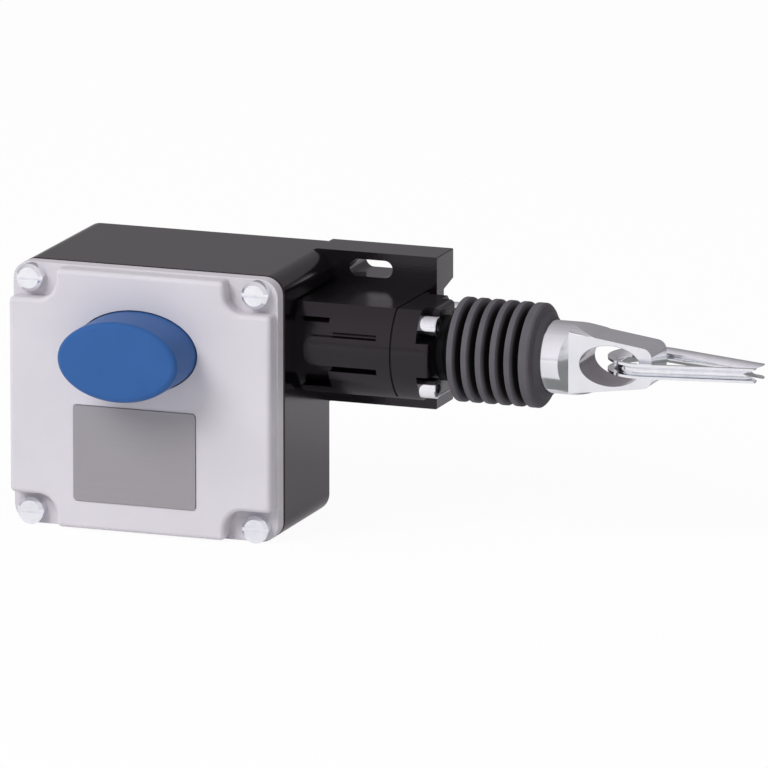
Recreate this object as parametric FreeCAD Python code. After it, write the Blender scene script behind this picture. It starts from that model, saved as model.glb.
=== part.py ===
import FreeCAD, Part
import math
import os

from FreeCAD import Vector

# A rope pull switch: a two-part box with a reset button, and a sprung rod that a rope pulls by a thimble.
# Origin: where the lower fixing hole meets the mounting plane. +X is the way the rope pulls, +Y goes into
# the wall that the switch is screwed to, +Z is up. Millimetres.

os.makedirs("parts", exist_ok=True)

# How far a cutting tool runs past the face that it cuts
over = 1.0

# Box
box_w = 85.0
box_h = 80.5
box_wall = 3.0
box_corner_r = 5.5
box_rear_r = 1.2
base_depth = 39.3
rim_chamfer = 0.3
gasket_t = 0.8
gasket_inset = 0.5
gasket_w = 2.2
hole_to_box = 13.1

# Mounting bars behind the box, which run on past it
mount_depth = 14.3
mount_overhang = 34.2
mount_half_h = 23.4
mount_bar_h = 9.0
mount_draft = 1.9
mount_web_t = 6.1
mount_step = 0.5
mount_step_run = 1.0
mount_corner_r = 0.3
fixing_r = 2.65
fixing_half_gap = 18.5
slot_len = 13.8
slot_h = 5.3

# Pull axis
axis_from_wall = 31.0

# Cover
cover_depth = 10.1
cover_wall = 2.6
cover_edge_r = 1.5
cover_face_inset = 0.5
cover_floor_edge_r = 0.25
pocket_w = 15.0
pocket_h = 9.6
pocket_depth = 5.4
pocket_corner_r = 6.0
pocket_end_r = 1.5
screw_inset_x = 6.3
screw_inset_z = 4.3
screw_r = 2.0
screw_hole_gap = 0.3
screw_thread_gap = 0.05
screw_len = 22.0
screw_head_r = 4.2
screw_head_h = 3.9
screw_slot_w = 1.2
screw_slot_depth = 1.3
screw_post_r = 4.6

# Label plate
label_w = 39.2
label_h = 29.4
label_t = 0.7
label_seat = 0.3
label_gap = 0.2
label_corner_r = 1.2
label_raise = 1.95
label_from_left = 41.0

# Reset button
button_w = 38.4
button_h = 24.6
button_out = 17.0
button_skirt = 3.5
button_wall = 1.8
button_edge_r = 1.8
button_gap = 0.35
button_travel = 4.0
button_from_left = 41.7
button_below_axis = 1.0
button_socket_len = 6.0
well_wall = 2.0
well_floor_t = 2.5
well_floor_gap = 0.8
stem_r = 4.0
stem_tip_r = 2.0
stem_fit = 0.05
stem_past_ring = 0.6
ring_t = 0.8
ring_r = 6.0
ring_seat = 0.8
ring_mouth = 2.8
seal_w = 1.2
seal_r = 5.6
seal_groove_gap = 0.1
button_spring_r = 7.5
button_spring_wire = 1.0
button_spring_turns = 4.5

# Neck and its cap
neck_r = 17.4
neck_len = 31.4
neck_flat_up = 13.4
neck_flat_down = 14.4
neck_core_inset = 2.6
neck_core_drop = 0.6
neck_bore_r = 11.5
neck_rib_from = 4.1
neck_rib_low = -4.6
neck_rib_high = 4.2
neck_rib_end_r = 3.0
neck_pad_from = 1.5
neck_pad_up = 9.7
neck_pad_down = 12.0
neck_boss_from = 11.5
neck_boss_up = 5.8
neck_boss_down = 6.4
neck_collar_len = 4.4
neck_inner_len = 8.5
neck_inner_r = 14.8
seal_ring_t = 0.6
seal_ring_inset = 0.6
cap_len = 11.6
cap_edge_r = 1.5
cap_pocket_depth = 4.0
cap_pocket_r = 4.2
cap_screw_half_gap = 10.6
cap_screw_up = 8.6
cap_screw_down = 10.2
cap_screw_r = 1.5
cap_screw_head_r = 3.1
cap_screw_head_h = 5.1
cap_screw_head_edge = 0.3
cap_screw_len = 20.0
cap_screw_key = 2.7
cap_screw_key_depth = 2.2
cap_wall_gap = 0.3

# Rod and what slides on it
rod_r = 6.0
rod_tail_r = 5.0
rod_tail_edge = 1.0
rod_tail_collar = 3.0
rod_groove_w = 4.0
rod_groove_r = 4.0
bush_fit = 0.05
bush_wall = 2.0
bush_flange_r = 11.2
bush_flange_t = 2.5
rod_travel = 12.0
snap_ring_t = 1.2
snap_ring_r = 7.8
snap_ring_seat = 0.8
snap_ring_gap = 0.4
snap_ring_mouth = 3.2
washer_t = 2.0
washer_r = 11.0
spring_r = 9.2
spring_wire = 2.4
spring_turns = 5.0
seat_gap = 0.3
rod_tail_from_left = 16.0
rod_step_from_left = 34.0

# Cam on the rod and the contact plunger that it pushes down
cam_slope = 0.2
cam_small_r = 7.0
cam_len = 17.5
cam_flange_t = 3.5
cam_from_left = 43.5
cam_gap = 0.42
cam_pin_recess = 0.5
roll_pin_r = 1.25
plunger_from_left = 57.0
plunger_r = 2.5
plunger_fit = 0.05
plunger_head_r = 3.2
plunger_in_block = 9.0
plunger_bore = 14.0
plunger_spring_r = 1.8
plunger_spring_wire = 0.6
plunger_spring_turns = 3.0

# Contact block
block_from_left = 40.0
block_w = 34.0
block_top_gap = 4.5
block_h = 30.0
block_depth = 26.0
block_step_h = 9.0
block_step_depth = 6.0
block_slit_w = 1.2
block_slit_depth = 2.5
block_screw_r = 1.5
block_screw_head_r = 2.9
block_screw_head_h = 2.2
block_screw_inset_x = 4.5
block_screw_inset_z = 5.0
block_screw_skin = 0.5
terminal_ways = 4
terminal_r = 1.5
terminal_head_r = 2.6
terminal_head_h = 1.8
terminal_len = 7.0
terminal_from_low = 12.0
terminal_first_shift = 2.0
small_slot_w = 0.8
small_slot_depth = 0.8

# Latch lever, rocked by the button
latch_pin_from_left = 31.0
latch_pin_r = 1.5
latch_pin_fit = 0.05
latch_behind_well = 5.2
latch_t = 2.4
latch_h = 6.0
latch_hub_r = 3.0
latch_arm = 13.0
latch_tail = 9.0
latch_hook_w = 3.0
latch_stem_gap = 0.4
latch_rod_gap = 0.5
latch_pin_proud = 0.5
bracket_gap = 1.5
bracket_t = 2.0
bracket_w = 6.0
bracket_foot = 6.0
bracket_foot_t = 2.0

# Bellows
bellows_r = 15.8
bellows_root_r = 12.0
bellows_wall = 1.1
bellows_folds = 6
bellows_pitch = 4.55
bellows_crest_w = 1.5
bellows_first_crest = 6.2
bellows_base_r = 10.0
bellows_base_t = 2.0
bellows_shoulder = 0.8
bellows_step_r = 13.7
bellows_step = 0.3
bellows_step_len = 1.2
bellows_lip_r = 12.1
bellows_lip_len = 2.8

# Eye
eye_shank_r = 11.0
eye_shank_len = 11.5
eye_past_bellows = 6.6
eye_cone_len = 4.9
eye_cone_edge = 0.2
eye_plate_t = 13.9
eye_plate_len = 27.3
eye_plate_root = 1.0
eye_left_h = 19.4
eye_right_h = 11.6
eye_bar_r = 11.7
eye_corner_r = 2.6
eye_hole_w = 19.2
eye_hole_h = 12.3
eye_hole_edge = 0.4
eye_hole_from_end = 13.1
eye_socket = 5.0

# Thimble
thimble_in_r = 9.5
thimble_depth = 3.2
thimble_h = 4.4
thimble_wall = 0.75
thimble_len = 48.0
thimble_half_angle = 14.3
thimble_yaw = -4.2
thimble_from_eye_end = 3.4
thimble_off_axis = 1.75
thimble_mouth = 4.2

# Cable entry, earth screw
entry_r = 9.25
entry_boss_r = 12.5
entry_len = 9.0
entry_from_left = 22.0
entry_from_wall = 34.5
earth_r = 2.0
earth_head_r = 3.6
earth_head_h = 2.4
earth_slot_depth = 1.0
earth_boss_r = 5.0
earth_boss_h = 4.0
earth_end_gap = 0.5
earth_from_left = 13.0
earth_from_bottom = 36.0

# Places that follow from the sizes
axis_y = -axis_from_wall
axis_z = fixing_half_gap
box_right = -hole_to_box
box_left = box_right - box_w
mount_right = box_right + mount_overhang
mount_low = axis_z - mount_half_h
mount_high = axis_z + mount_half_h
box_top = mount_high - mount_step
box_bottom = box_top - box_h
back_y = -mount_depth
web_y = back_y + mount_web_t
step_x = box_right - box_corner_r
inside_back_y = back_y - box_wall
rim_y = back_y - base_depth
cover_back_y = rim_y - gasket_t
front_y = cover_back_y - cover_depth
pocket_y = front_y + pocket_depth
joint_x = box_right + neck_len
collar_x = joint_x - neck_collar_len
cap_back_x = joint_x + seal_ring_t
cap_front_x = cap_back_x + cap_len
cap_seat_x = cap_front_x - cap_pocket_depth
crests_end = cap_front_x + bellows_first_crest + (bellows_folds - 1) * bellows_pitch
bellows_face_x = crests_end + bellows_crest_w
lip_end = bellows_face_x + bellows_lip_len
shank_end = lip_end + eye_past_bellows
shank_start = shank_end - eye_shank_len
eye_end = shank_end + eye_plate_len
eye_hole_x = eye_end - eye_hole_from_end
button_x = box_left + button_from_left
button_z = axis_z - button_below_axis
button_top_y = front_y - button_out
button_roof_y = button_top_y + button_wall
skirt_y = front_y + button_skirt
well_floor_y = skirt_y + button_travel + well_floor_gap
well_inner_y = well_floor_y + well_floor_t
seal_y = (well_floor_y + well_inner_y) / 2
ring_y = well_inner_y + seat_gap
label_x = box_left + label_from_left
label_z = (button_z - button_h / 2 + box_bottom) / 2 + label_raise
spring_stop_x = box_right - box_wall
rear_bush_x = spring_stop_x - neck_inner_len
snap_ring_x = spring_stop_x + snap_ring_gap
washer_x = snap_ring_x + snap_ring_t
front_bush_x = cap_back_x - bush_flange_t
bush_r = rod_r + bush_wall
cam_x = box_left + cam_from_left
cam_pin_x = cam_x - cam_flange_t / 2
cam_big_r = cam_small_r + cam_slope * cam_len
plunger_x = box_left + plunger_from_left
plunger_top = axis_z - cam_small_r - cam_slope * (cam_x + cam_len - plunger_x) - cam_gap
plunger_head_z = plunger_top - plunger_head_r
block_left = box_left + block_from_left
block_right = block_left + block_w
block_front_y = inside_back_y - block_depth
block_top = plunger_head_z - block_top_gap
block_low = block_top - block_h
block_step_y = block_front_y + block_step_depth
latch_x = box_left + latch_pin_from_left
latch_y = well_inner_y + latch_behind_well
latch_front_y = latch_y - latch_t / 2
bracket_near = rod_tail_r + bracket_gap
bracket_far = bracket_near + bracket_t
thimble_x = eye_end - thimble_from_eye_end
thimble_y = axis_y + thimble_off_axis
entry_x = box_left + entry_from_left
earth_x = box_left + earth_from_left
earth_z = box_bottom + earth_from_bottom
earth_seat_y = inside_back_y - earth_boss_h
origin = Vector(0, 0, 0)
along_x = Vector(1, 0, 0)
along_y = Vector(0, 1, 0)
along_z = Vector(0, 0, 1)


def block(x0, x1, y0, y1, z0, z1):
    return Part.makeBox(x1 - x0, y1 - y0, z1 - z0, Vector(x0, y0, z0))


def bar_x(r, x0, x1, y=axis_y, z=axis_z):
    return Part.makeCylinder(r, x1 - x0, Vector(x0, y, z), along_x)


def bar_y(r, y0, y1, x, z):
    return Part.makeCylinder(r, y1 - y0, Vector(x, y0, z), along_y)


def bar_z(r, z0, z1, x, y):
    return Part.makeCylinder(r, z1 - z0, Vector(x, y, z0), along_z)


def ring_x(outer, inner, x0, x1):
    return bar_x(outer, x0, x1).cut(bar_x(inner, x0, x1))


def closed_face(points):
    return Part.Face(Part.makePolygon(points + points[:1]))


def rounded_wire(corners):
    """Closed outline through (point, radius) corners, with an arc at each corner that has a radius."""
    edges, ends = [], []
    count = len(corners)
    for i, (point, radius) in enumerate(corners):
        before = (corners[i - 1][0] - point).normalize()
        after = (corners[(i + 1) % count][0] - point).normalize()
        if radius <= 0:
            ends.append((point, point))
            continue
        half = before.getAngle(after) / 2
        reach = radius / math.tan(half)
        start, end = point + before * reach, point + after * reach
        middle = (before + after).normalize()
        centre = point + middle * (radius / math.sin(half))
        edges.append(Part.Arc(start, centre - middle * radius, end).toShape())
        ends.append((start, end))
    for i in range(count):
        start, end = ends[i][1], ends[(i + 1) % count][0]
        if (end - start).Length > 1e-6:
            edges.append(Part.LineSegment(start, end).toShape())
    return Part.Wire(Part.__sortEdges__(edges))


def plate_y(corners, y0, y1):
    """Plate between two Y planes, from corners given as (x, z, radius)."""
    wire = rounded_wire([(Vector(x, y0, z), r) for x, z, r in corners])
    return Part.Face(wire).extrude(Vector(0, y1 - y0, 0))


def rounded_box_y(x0, x1, z0, z1, r, y0, y1):
    return plate_y([(x0, z0, r), (x1, z0, r), (x1, z1, r), (x0, z1, r)], y0, y1)


def box_plate(inset, y0, y1):
    """Plate with the box's own rounded outline, moved inwards by the inset."""
    return rounded_box_y(box_left + inset, box_right - inset, box_bottom + inset, box_top - inset,
                         box_corner_r - inset, y0, y1)


def oval_wire(x, z, w, h, y):
    curve = Part.Ellipse(Vector(x + w / 2, y, z), Vector(x, y, z + h / 2), Vector(x, y, z))
    return Part.Wire(curve.toShape())


def oval_y(x, z, w, h, y0, y1):
    return Part.Face(oval_wire(x, z, w, h, y0)).extrude(Vector(0, y1 - y0, 0))


def button_oval(grow, y0, y1):
    """Oval about the button's centre, wider than the button by grow on every side."""
    return oval_y(button_x, button_z, button_w + 2 * grow, button_h + 2 * grow, y0, y1)


def turned_x(profile):
    """Solid turned about the pull axis from (x, radius) points."""
    points = [Vector(x, axis_y, axis_z + r) for x, r in profile]
    return closed_face(points).revolve(Vector(0, axis_y, axis_z), along_x, 360)


def edges_where(shape, test):
    return [edge for edge in shape.Edges if test(edge)]


def on_plane_x(edge, x):
    box = edge.BoundBox
    return abs(box.XMin - x) < 1e-4 and abs(box.XMax - x) < 1e-4


def on_plane_y(edge, y):
    box = edge.BoundBox
    return abs(box.YMin - y) < 1e-4 and abs(box.YMax - y) < 1e-4


def chamfer_x(shape, size, x):
    return shape.makeChamfer(size, edges_where(shape, lambda edge: on_plane_x(edge, x)))


def chamfer_y(shape, size, y):
    return shape.makeChamfer(size, edges_where(shape, lambda edge: on_plane_y(edge, y)))


def fillet_x(shape, r, x):
    return shape.makeFillet(r, edges_where(shape, lambda edge: on_plane_x(edge, x)))


def fillet_y(shape, r, y):
    return shape.makeFillet(r, edges_where(shape, lambda edge: on_plane_y(edge, y)))


def coil(radius, wire_r, turns, length, sides=6):
    """Spring along +Z from the origin, with its many-sided wire inside the length."""
    height = length - 2 * wire_r
    helix = Part.makeHelix(height / turns, height, radius)
    angles = [2 * math.pi * (k + 0.5) / sides for k in range(sides)]
    points = [Vector(radius + wire_r * math.cos(a), 0, wire_r * math.sin(a)) for a in angles]
    spring = Part.Wire(helix).makePipeShell([Part.makePolygon(points + points[:1])], True, True)
    spring.translate(Vector(0, 0, wire_r))
    return spring


def join(first, others):
    return first.fuse(others).removeSplitter()


def compound(shapes):
    return Part.makeCompound(shapes)


def screw_places():
    left, right = box_left + screw_inset_x, box_right - screw_inset_x
    low, high = box_bottom + screw_inset_z, box_top - screw_inset_z
    return [(left, low), (right, low), (right, high), (left, high)]


def cap_screw_places():
    return [(axis_y + side * cap_screw_half_gap, axis_z + z)
            for side in (-1, 1) for z in (-cap_screw_down, cap_screw_up)]


def neck_section(inset, drop, x0, x1, back):
    """Length of the neck's outline, round at the front, square at the back, with a flat top and bottom."""
    r = neck_r - inset
    low, high = axis_z - neck_flat_down + drop, axis_z + neck_flat_up - drop
    return bar_x(r, x0, x1).fuse(block(x0, x1, axis_y, back, axis_z - r, axis_z + r)).common(
        block(x0, x1, axis_y - r, back, low, high))


def neck_ledge(start, low, high):
    """Raised ledge from this far off the box to the collar, between two heights about the pull axis."""
    return block(box_right + start, collar_x + over, axis_y - neck_r, back_y, axis_z + low, axis_z + high)


def neck():
    """Neck with a rounded rib at its front, ledges above and below the rib, and a collar at its end."""
    core = neck_section(neck_core_inset, neck_core_drop, box_right - box_wall, joint_x, back_y)
    inner = bar_x(neck_inner_r, rear_bush_x, box_right)
    start, end = box_right + neck_rib_from, collar_x + over
    low, high = axis_z + neck_rib_low, axis_z + neck_rib_high
    end_r = neck_rib_end_r
    rib = plate_y([(start, low, end_r), (end, low, 0), (end, high, 0), (start, high, end_r)],
                  axis_y - neck_r, back_y)
    raised = join(rib, [neck_ledge(neck_pad_from, neck_pad_up, neck_r),
                        neck_ledge(neck_pad_from, -neck_r, -neck_pad_down),
                        neck_ledge(neck_boss_from, neck_boss_up, neck_r),
                        neck_ledge(neck_boss_from, -neck_r, -neck_boss_down)])
    raised = raised.common(neck_section(0, 0, box_right, end, back_y))
    return join(core, [inner, neck_section(0, 0, collar_x, joint_x, back_y), raised])


def mounting_bar(outer_z, inwards):
    """Bar of full depth, whose inner face is drafted: it is thicker at the web than at the wall."""
    thin = outer_z + inwards * mount_bar_h
    thick = thin + inwards * mount_draft
    front = back_y - box_rear_r
    section = [(0, outer_z), (front, outer_z), (front, thick), (web_y, thick), (0, thin)]
    face = closed_face([Vector(box_left, y, z) for y, z in section])
    return face.extrude(Vector(mount_right - box_left, 0, 0))


def mounting_bars():
    """Two bars with a thinner web between them. They follow the box's outline, then step out and run on."""
    web = block(box_left, mount_right, back_y - box_rear_r, web_y, mount_low, mount_high)
    bars = join(web, [mounting_bar(mount_low, 1), mounting_bar(mount_high, -1)])
    behind_box = fillet_y(box_plate(0, back_y - box_rear_r, 0), box_rear_r, 0)
    past_box = plate_y([(step_x, mount_low, 0), (mount_right, mount_low, mount_corner_r),
                        (mount_right, mount_high, mount_corner_r), (step_x + mount_step_run, mount_high, 0),
                        (step_x, box_top, 0)], back_y, 0)
    return bars.common(join(behind_box, [past_box]))


def slot_cut(z, length, height):
    half = (length - height) / 2
    front, back = back_y - over, over
    body = block(-half, half, front, back, z - height / 2, z + height / 2)
    return body.fuse([bar_y(height / 2, front, back, x, z) for x in (-half, half)])


def base_housing():
    solid = chamfer_y(box_plate(0, rim_y, back_y), rim_chamfer, rim_y)
    solid = fillet_y(solid, box_rear_r, back_y)
    shell = solid.cut(box_plate(box_wall, rim_y, inside_back_y))
    posts = [bar_y(screw_post_r, rim_y, back_y, x, z).common(solid) for x, z in screw_places()]
    entry_boss = bar_z(entry_boss_r, box_bottom + over, box_bottom + entry_len, entry_x, -entry_from_wall)
    earth_boss = bar_y(earth_boss_r, earth_seat_y, back_y - over, earth_x, earth_z)
    housing = join(shell, posts + [entry_boss, earth_boss, neck(), mounting_bars()])
    cuts = [bar_x(neck_bore_r, spring_stop_x, joint_x + over),
            bar_x(bush_r, rear_bush_x - over, spring_stop_x + over),
            bar_z(entry_r, box_bottom - over, box_bottom + entry_len + over, entry_x, -entry_from_wall),
            bar_y(earth_r + screw_thread_gap, earth_seat_y - over, inside_back_y, earth_x, earth_z),
            bar_y(fixing_r, back_y - over, over, 0, 0),
            slot_cut(2 * fixing_half_gap, slot_len, slot_h)]
    cuts += [bar_y(screw_r + screw_thread_gap, rim_y - over, pocket_y + screw_len + over, x, z)
             for x, z in screw_places()]
    cuts += [bar_x(cap_screw_r + screw_thread_gap, cap_seat_x - cap_screw_len - over, joint_x + over, y, z)
             for y, z in cap_screw_places()]
    cuts += [bar_y(block_screw_r + screw_thread_gap, inside_back_y - over, back_y - block_screw_skin, x, z)
             for x, z in block_screw_places()]
    for cut in cuts:
        housing = housing.cut(cut)
    return housing


def cover_face(inset, y0, y1):
    """Plate with the outline of the raised face: the box's rectangle without its four screw pockets."""
    x0, x1 = box_left + inset, box_right - inset
    z0, z1 = box_bottom + inset, box_top - inset
    left, right = x0 + pocket_w, x1 - pocket_w
    low, high = z0 + pocket_h, z1 - pocket_h
    tip, root = pocket_end_r, pocket_corner_r
    return plate_y([(left, z0, tip), (right, z0, tip), (right, low, root), (x1, low, tip),
                    (x1, high, tip), (right, high, root), (right, z1, tip), (left, z1, tip),
                    (left, high, root), (x0, high, tip), (x0, low, tip), (left, low, root)], y0, y1)


def cover():
    """Cast cover: a hollow raised face with open corner pockets, and the oval well of the button."""
    slab = fillet_y(box_plate(0, pocket_y, cover_back_y), cover_floor_edge_r, pocket_y)
    slab = chamfer_y(slab, rim_chamfer, cover_back_y)
    face = fillet_y(cover_face(cover_face_inset, front_y, pocket_y + over), cover_edge_r, front_y)
    shell = join(slab, [face]).cut(cover_face(cover_wall, front_y + cover_wall, cover_back_y + over))
    well = button_oval(button_gap + well_wall, front_y + cover_wall - over, well_inner_y)
    shell = join(shell, [well])
    cuts = [button_oval(button_gap, front_y - over, well_floor_y),
            bar_y(stem_r + stem_fit, front_y, well_inner_y + over, button_x, button_z),
            bar_y(seal_r + seal_groove_gap, seal_y - seal_w / 2 - seal_groove_gap,
                  seal_y + seal_w / 2 + seal_groove_gap, button_x, button_z),
            label_solid(label_gap, label_seat, over)]
    cuts += [bar_y(screw_r + screw_hole_gap, front_y, cover_back_y + over, x, z) for x, z in screw_places()]
    for cut in cuts:
        shell = shell.cut(cut)
    return shell


def label_solid(gap, behind, ahead):
    half_w, half_h = label_w / 2 + gap, label_h / 2 + gap
    return rounded_box_y(label_x - half_w, label_x + half_w, label_z - half_h, label_z + half_h,
                         label_corner_r, front_y - ahead, front_y + behind)


def cover_gasket():
    ring = box_plate(gasket_inset, cover_back_y, rim_y)
    ring = ring.cut(box_plate(gasket_inset + gasket_w, cover_back_y, rim_y))
    for x, z in screw_places():
        ring = ring.cut(bar_y(screw_r + screw_hole_gap, cover_back_y, rim_y, x, z))
    return ring


def slotted_screw(x, z, seat_y, r, head_r, head_h, length, slot_w, slot_depth):
    """Cheese head screw with a level slot, its head out along -Y from the seat."""
    face_y = seat_y - head_h
    head = chamfer_y(bar_y(head_r, face_y, seat_y, x, z), head_h / 4, face_y)
    slot = block(x - head_r - over, x + head_r + over, face_y - over, face_y + slot_depth,
                 z - slot_w / 2, z + slot_w / 2)
    return head.cut(slot).fuse(bar_y(r, seat_y, seat_y + length, x, z))


def cover_screws():
    return compound([slotted_screw(x, z, pocket_y, screw_r, screw_head_r, screw_head_h, screw_len,
                                   screw_slot_w, screw_slot_depth) for x, z in screw_places()])


def reset_button():
    cap = fillet_y(button_oval(0, button_top_y, skirt_y), button_edge_r, button_top_y)
    cap = cap.cut(button_oval(-button_wall, button_roof_y, skirt_y))
    socket = bar_y(stem_r + button_wall, button_top_y + over, button_roof_y + button_socket_len,
                   button_x, button_z)
    return join(cap, [socket]).cut(bar_y(stem_r, button_roof_y, skirt_y, button_x, button_z))


def button_stem():
    """Stem in the button's socket, with a groove for its retaining ring and a thinner domed tip."""
    tip_y = latch_front_y - latch_stem_gap
    ring_end = ring_y + ring_t
    stem_end = ring_end + stem_past_ring
    stem = bar_y(stem_r, button_roof_y, stem_end, button_x, button_z)
    tip = Part.makeSphere(stem_tip_r, Vector(button_x, tip_y - stem_tip_r, button_z))
    thin_part = bar_y(stem_tip_r, stem_end - over, tip_y - stem_tip_r, button_x, button_z)
    groove = bar_y(stem_r + over, ring_y, ring_end, button_x, button_z)
    groove = groove.cut(bar_y(stem_r - ring_seat, ring_y, ring_end, button_x, button_z))
    return join(stem, [tip, thin_part]).cut(groove)


def button_ring():
    ring = bar_y(ring_r, ring_y, ring_y + ring_t, button_x, button_z)
    ring = ring.cut(bar_y(stem_r - ring_seat, ring_y, ring_y + ring_t, button_x, button_z))
    half = ring_mouth / 2
    return ring.cut(block(button_x - half, button_x + half, ring_y - over, ring_y + ring_t + over,
                          button_z - ring_r - over, button_z))


def button_seal():
    ring = bar_y(seal_r, seal_y - seal_w / 2, seal_y + seal_w / 2, button_x, button_z)
    return ring.cut(bar_y(stem_r + stem_fit, seal_y - seal_w, seal_y + seal_w, button_x, button_z))


def button_spring():
    start = button_roof_y + seat_gap
    length = well_floor_y - seat_gap - start
    spring = coil(button_spring_r, button_spring_wire / 2, button_spring_turns, length, 4)
    spring.rotate(origin, along_x, -90)
    spring.translate(Vector(button_x, start, button_z))
    return spring


def neck_seal():
    ring = neck_section(seal_ring_inset, seal_ring_inset, joint_x, cap_back_x, back_y - cap_wall_gap)
    for y, z in cap_screw_places():
        ring = ring.cut(bar_x(cap_screw_r + screw_hole_gap, joint_x - over, cap_back_x + over, y, z))
    return ring.cut(bar_x(neck_bore_r, joint_x - over, cap_back_x + over))


def cap_pocket(y, z):
    """Corner pocket of one cap screw, open to both sides of the cap."""
    r, end = cap_pocket_r, cap_front_x + over
    y0, y1 = sorted((y, axis_y + math.copysign(neck_r, y - axis_y)))
    z0, z1 = sorted((z, axis_z + math.copysign(neck_r, z - axis_z)))
    round_end = bar_x(r, cap_seat_x, end, y, z)
    return round_end.fuse([block(cap_seat_x, end, y0, y1, z - r, z + r),
                           block(cap_seat_x, end, y - r, y + r, z0, z1)])


def neck_cap():
    """End cap with four open corner pockets for its screws and a nose that the bellows sits on."""
    cap = neck_section(0, 0, cap_back_x, cap_front_x, back_y - cap_wall_gap)
    cap = fillet_x(cap, cap_edge_r, cap_front_x)
    for y, z in cap_screw_places():
        cap = cap.cut(cap_pocket(y, z))
        cap = cap.cut(bar_x(cap_screw_r + screw_hole_gap, cap_back_x - over, cap_front_x, y, z))
    return cap.cut(bar_x(bush_r, cap_back_x - over, cap_front_x + over))


def hexagon_x(across, x0, x1, y, z):
    r = across / math.sqrt(3)
    turns = [math.radians(60 * k) for k in range(6)]
    face = closed_face([Vector(x0, y + r * math.cos(a), z + r * math.sin(a)) for a in turns])
    return face.extrude(Vector(x1 - x0, 0, 0))


def cap_screw(y, z):
    """Socket head screw of the cap, its head out along +X."""
    top_x = cap_seat_x + cap_screw_head_h
    head = chamfer_x(bar_x(cap_screw_head_r, cap_seat_x, top_x, y, z), cap_screw_head_edge, top_x)
    key = hexagon_x(cap_screw_key, top_x - cap_screw_key_depth, top_x + over, y, z)
    return head.cut(key).fuse(bar_x(cap_screw_r, cap_seat_x - cap_screw_len, cap_seat_x, y, z))


def cap_screws():
    return compound([cap_screw(y, z) for y, z in cap_screw_places()])


def front_bush():
    bore = rod_r + bush_fit
    bush = ring_x(bush_r, bore, front_bush_x, cap_front_x)
    return join(bush, [ring_x(bush_flange_r, bore, front_bush_x, cap_back_x)])


def rear_bush():
    return ring_x(bush_r, rod_r + bush_fit, rear_bush_x, spring_stop_x)


def main_spring():
    start = washer_x + washer_t + seat_gap
    spring = coil(spring_r, spring_wire / 2, spring_turns, front_bush_x - seat_gap - start)
    spring.rotate(origin, along_y, 90)
    spring.translate(Vector(start, axis_y, axis_z))
    return spring


def spring_washer():
    return ring_x(washer_r, rod_r, washer_x, washer_x + washer_t)


def rod_snap_ring():
    ring = ring_x(snap_ring_r, rod_r - snap_ring_seat, snap_ring_x, washer_x)
    half = snap_ring_mouth / 2
    return ring.cut(block(snap_ring_x - over, washer_x + over, axis_y - half, axis_y + half,
                          axis_z - snap_ring_r - over, axis_z))


def pull_rod():
    """Rod with a latch groove near its tail, a step, and a groove for the snap ring."""
    tail = box_left + rod_tail_from_left
    step = box_left + rod_step_from_left
    groove = tail + rod_tail_collar
    groove_end = groove + rod_groove_w
    ring_groove_r = rod_r - snap_ring_seat
    head_end = shank_start + eye_socket
    rod = turned_x([(tail, 0), (tail, rod_tail_r - rod_tail_edge), (tail + rod_tail_edge, rod_tail_r),
                    (groove, rod_tail_r), (groove, rod_groove_r), (groove_end, rod_groove_r),
                    (groove_end, rod_tail_r), (step, rod_tail_r), (step, rod_r), (snap_ring_x, rod_r),
                    (snap_ring_x, ring_groove_r), (washer_x, ring_groove_r), (washer_x, rod_r),
                    (head_end, rod_r), (head_end, 0)])
    return rod.cut(cam_pin_bar(rod_r + over))


def cam_pin_bar(reach):
    """Bar along the roll pin, as far as this above and below the pull axis."""
    return bar_z(roll_pin_r, axis_z - reach, axis_z + reach, cam_pin_x, axis_y)


def cam_sleeve():
    """Sleeve with a long cone: it pushes the plunger down as the rod comes out."""
    flange_x, end_x = cam_x - cam_flange_t, cam_x + cam_len
    sleeve = turned_x([(flange_x, rod_r), (flange_x, cam_big_r), (cam_x, cam_big_r), (end_x, cam_small_r),
                       (end_x, rod_r)])
    return sleeve.cut(cam_pin_bar(cam_big_r + over))


def cam_pin():
    return cam_pin_bar(cam_big_r - cam_pin_recess)


def contact_plunger():
    stem = bar_z(plunger_r, block_top - plunger_in_block, plunger_head_z, plunger_x, axis_y)
    return join(stem, [Part.makeSphere(plunger_head_r, Vector(plunger_x, axis_y, plunger_head_z))])


def block_screw_places():
    return [(block_left + block_screw_inset_x, block_low + block_screw_inset_z),
            (block_right - block_screw_inset_x, block_top - block_screw_inset_z)]


def terminal_places():
    """One terminal in each way; the first is shifted clear of a fixing screw."""
    step = block_w / terminal_ways
    places = [(block_left + step * (k + 0.5), block_low + terminal_from_low) for k in range(terminal_ways)]
    places[0] = (places[0][0] + terminal_first_shift, places[0][1])
    return places


def contact_block():
    """Block with a stepped front, slits between its ways, and bores for the screws and the plunger."""
    left, right, front = block_left - over, block_right + over, block_front_y - over
    body = block(block_left, block_right, block_front_y, inside_back_y, block_low, block_top)
    body = body.cut(block(left, right, front, block_step_y, block_top - block_step_h, block_top + over))
    body = body.cut(block(left, right, front, block_step_y, block_low - over, block_low + block_step_h))
    for k in range(1, terminal_ways):
        x = block_left + block_w / terminal_ways * k
        body = body.cut(block(x - block_slit_w / 2, x + block_slit_w / 2, front,
                              block_front_y + block_slit_depth, block_low, block_top))
    for x, z in block_screw_places():
        body = body.cut(bar_y(block_screw_r + screw_hole_gap, front, inside_back_y + over, x, z))
    hole_end = block_front_y + terminal_len + over
    for x, z in terminal_places():
        body = body.cut(bar_y(terminal_r + screw_thread_gap, front, hole_end, x, z))
    return body.cut(bar_z(plunger_r + plunger_fit, block_top - plunger_bore, block_top + over,
                          plunger_x, axis_y))


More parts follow.
